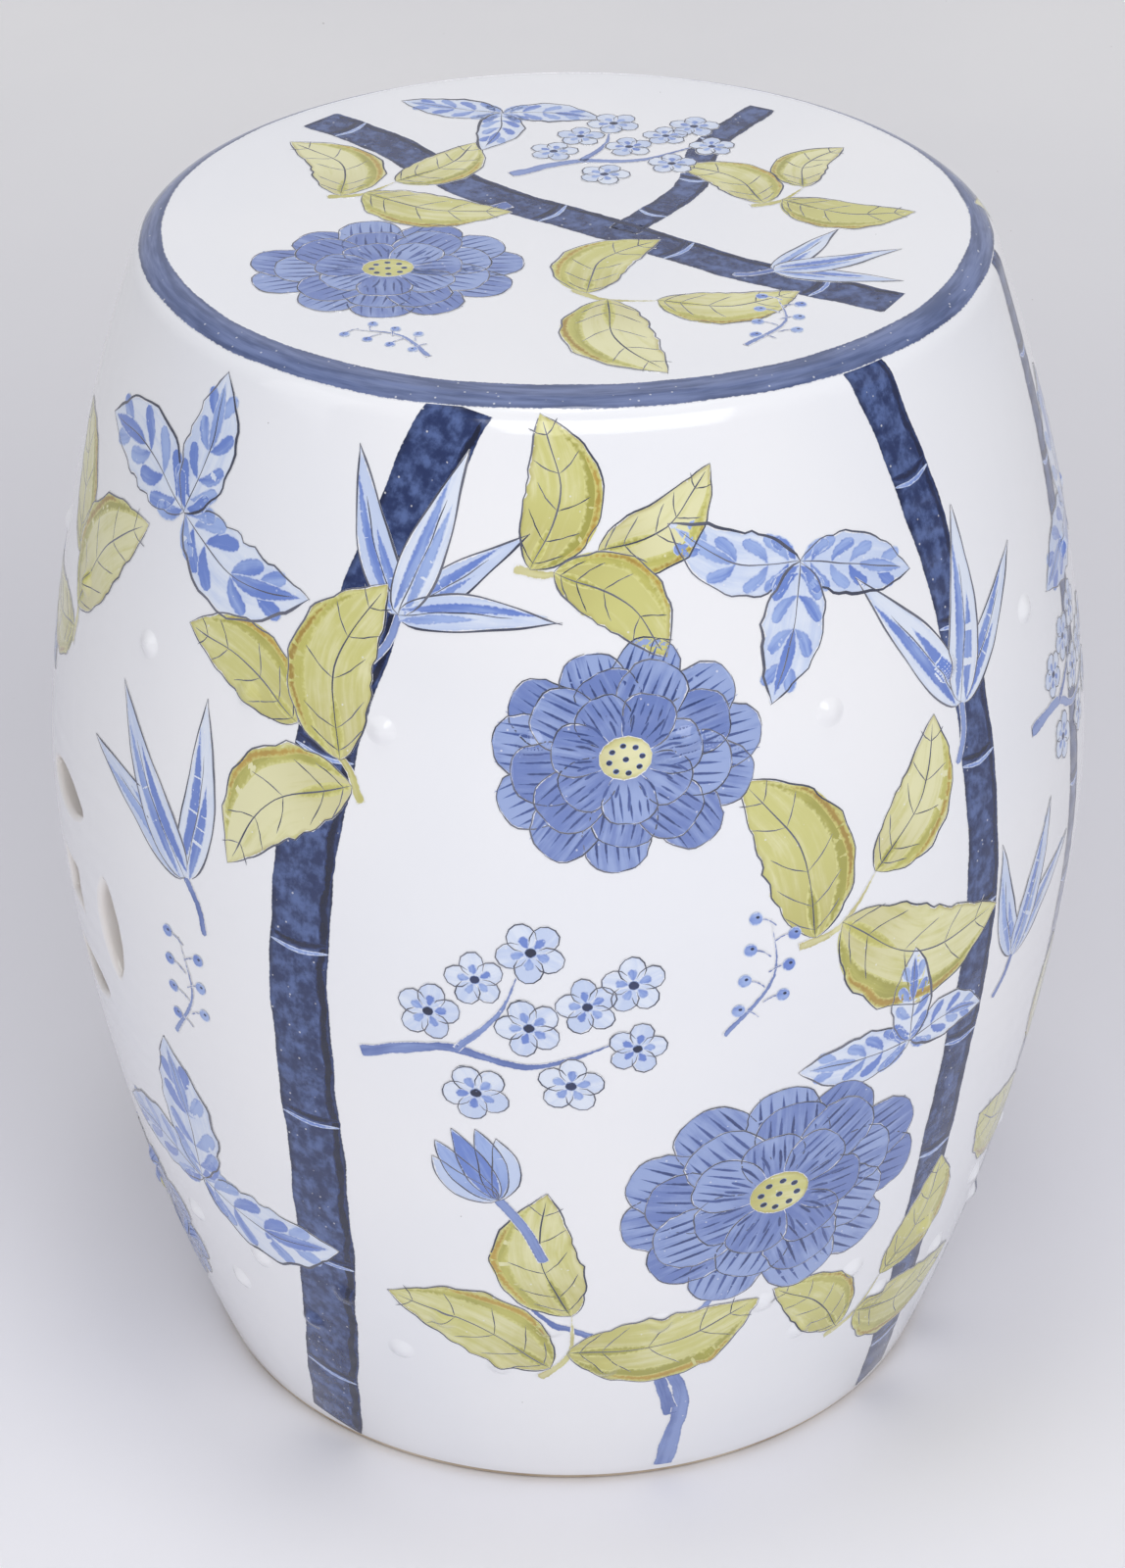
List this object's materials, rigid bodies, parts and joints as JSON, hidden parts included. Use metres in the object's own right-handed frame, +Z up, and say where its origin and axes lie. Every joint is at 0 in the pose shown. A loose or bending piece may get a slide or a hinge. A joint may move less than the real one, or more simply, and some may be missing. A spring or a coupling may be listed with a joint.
{
  "type": "garden stool",
  "caption": "Barrel-shaped glazed ceramic garden stool with a flat round seat, a swelling pierced wall for lifting, low round studs and a plain open foot.",
  "frame": {"origin": "on the floor under the middle of the seat, on the barrel's axis", "axes": "+Z up along the barrel's axis, +X and -X through the two pierced hand-holds, -Y to the front between them"},
  "size_m": [0.3885, 0.3885, 0.455],
  "materials": {
    "glaze": "glossy cool white glaze over cobalt-blue and yellow-green painting",
    "foot_clay": "bare fired clay at the floor, glazed above it",
    "bare_clay": "matte bare fired clay"
  },
  "bodies": {
    "root": {"seat_slab": "glaze", "upper_wall": "glaze", "belly_wall": "glaze", "lower_wall": "glaze", "upper_studs": "glaze", "lower_studs": "glaze", "foot_ring": "foot_clay", "knee_coil": "bare_clay", "seat_coil": "bare_clay"}
  },
  "joints": []
}
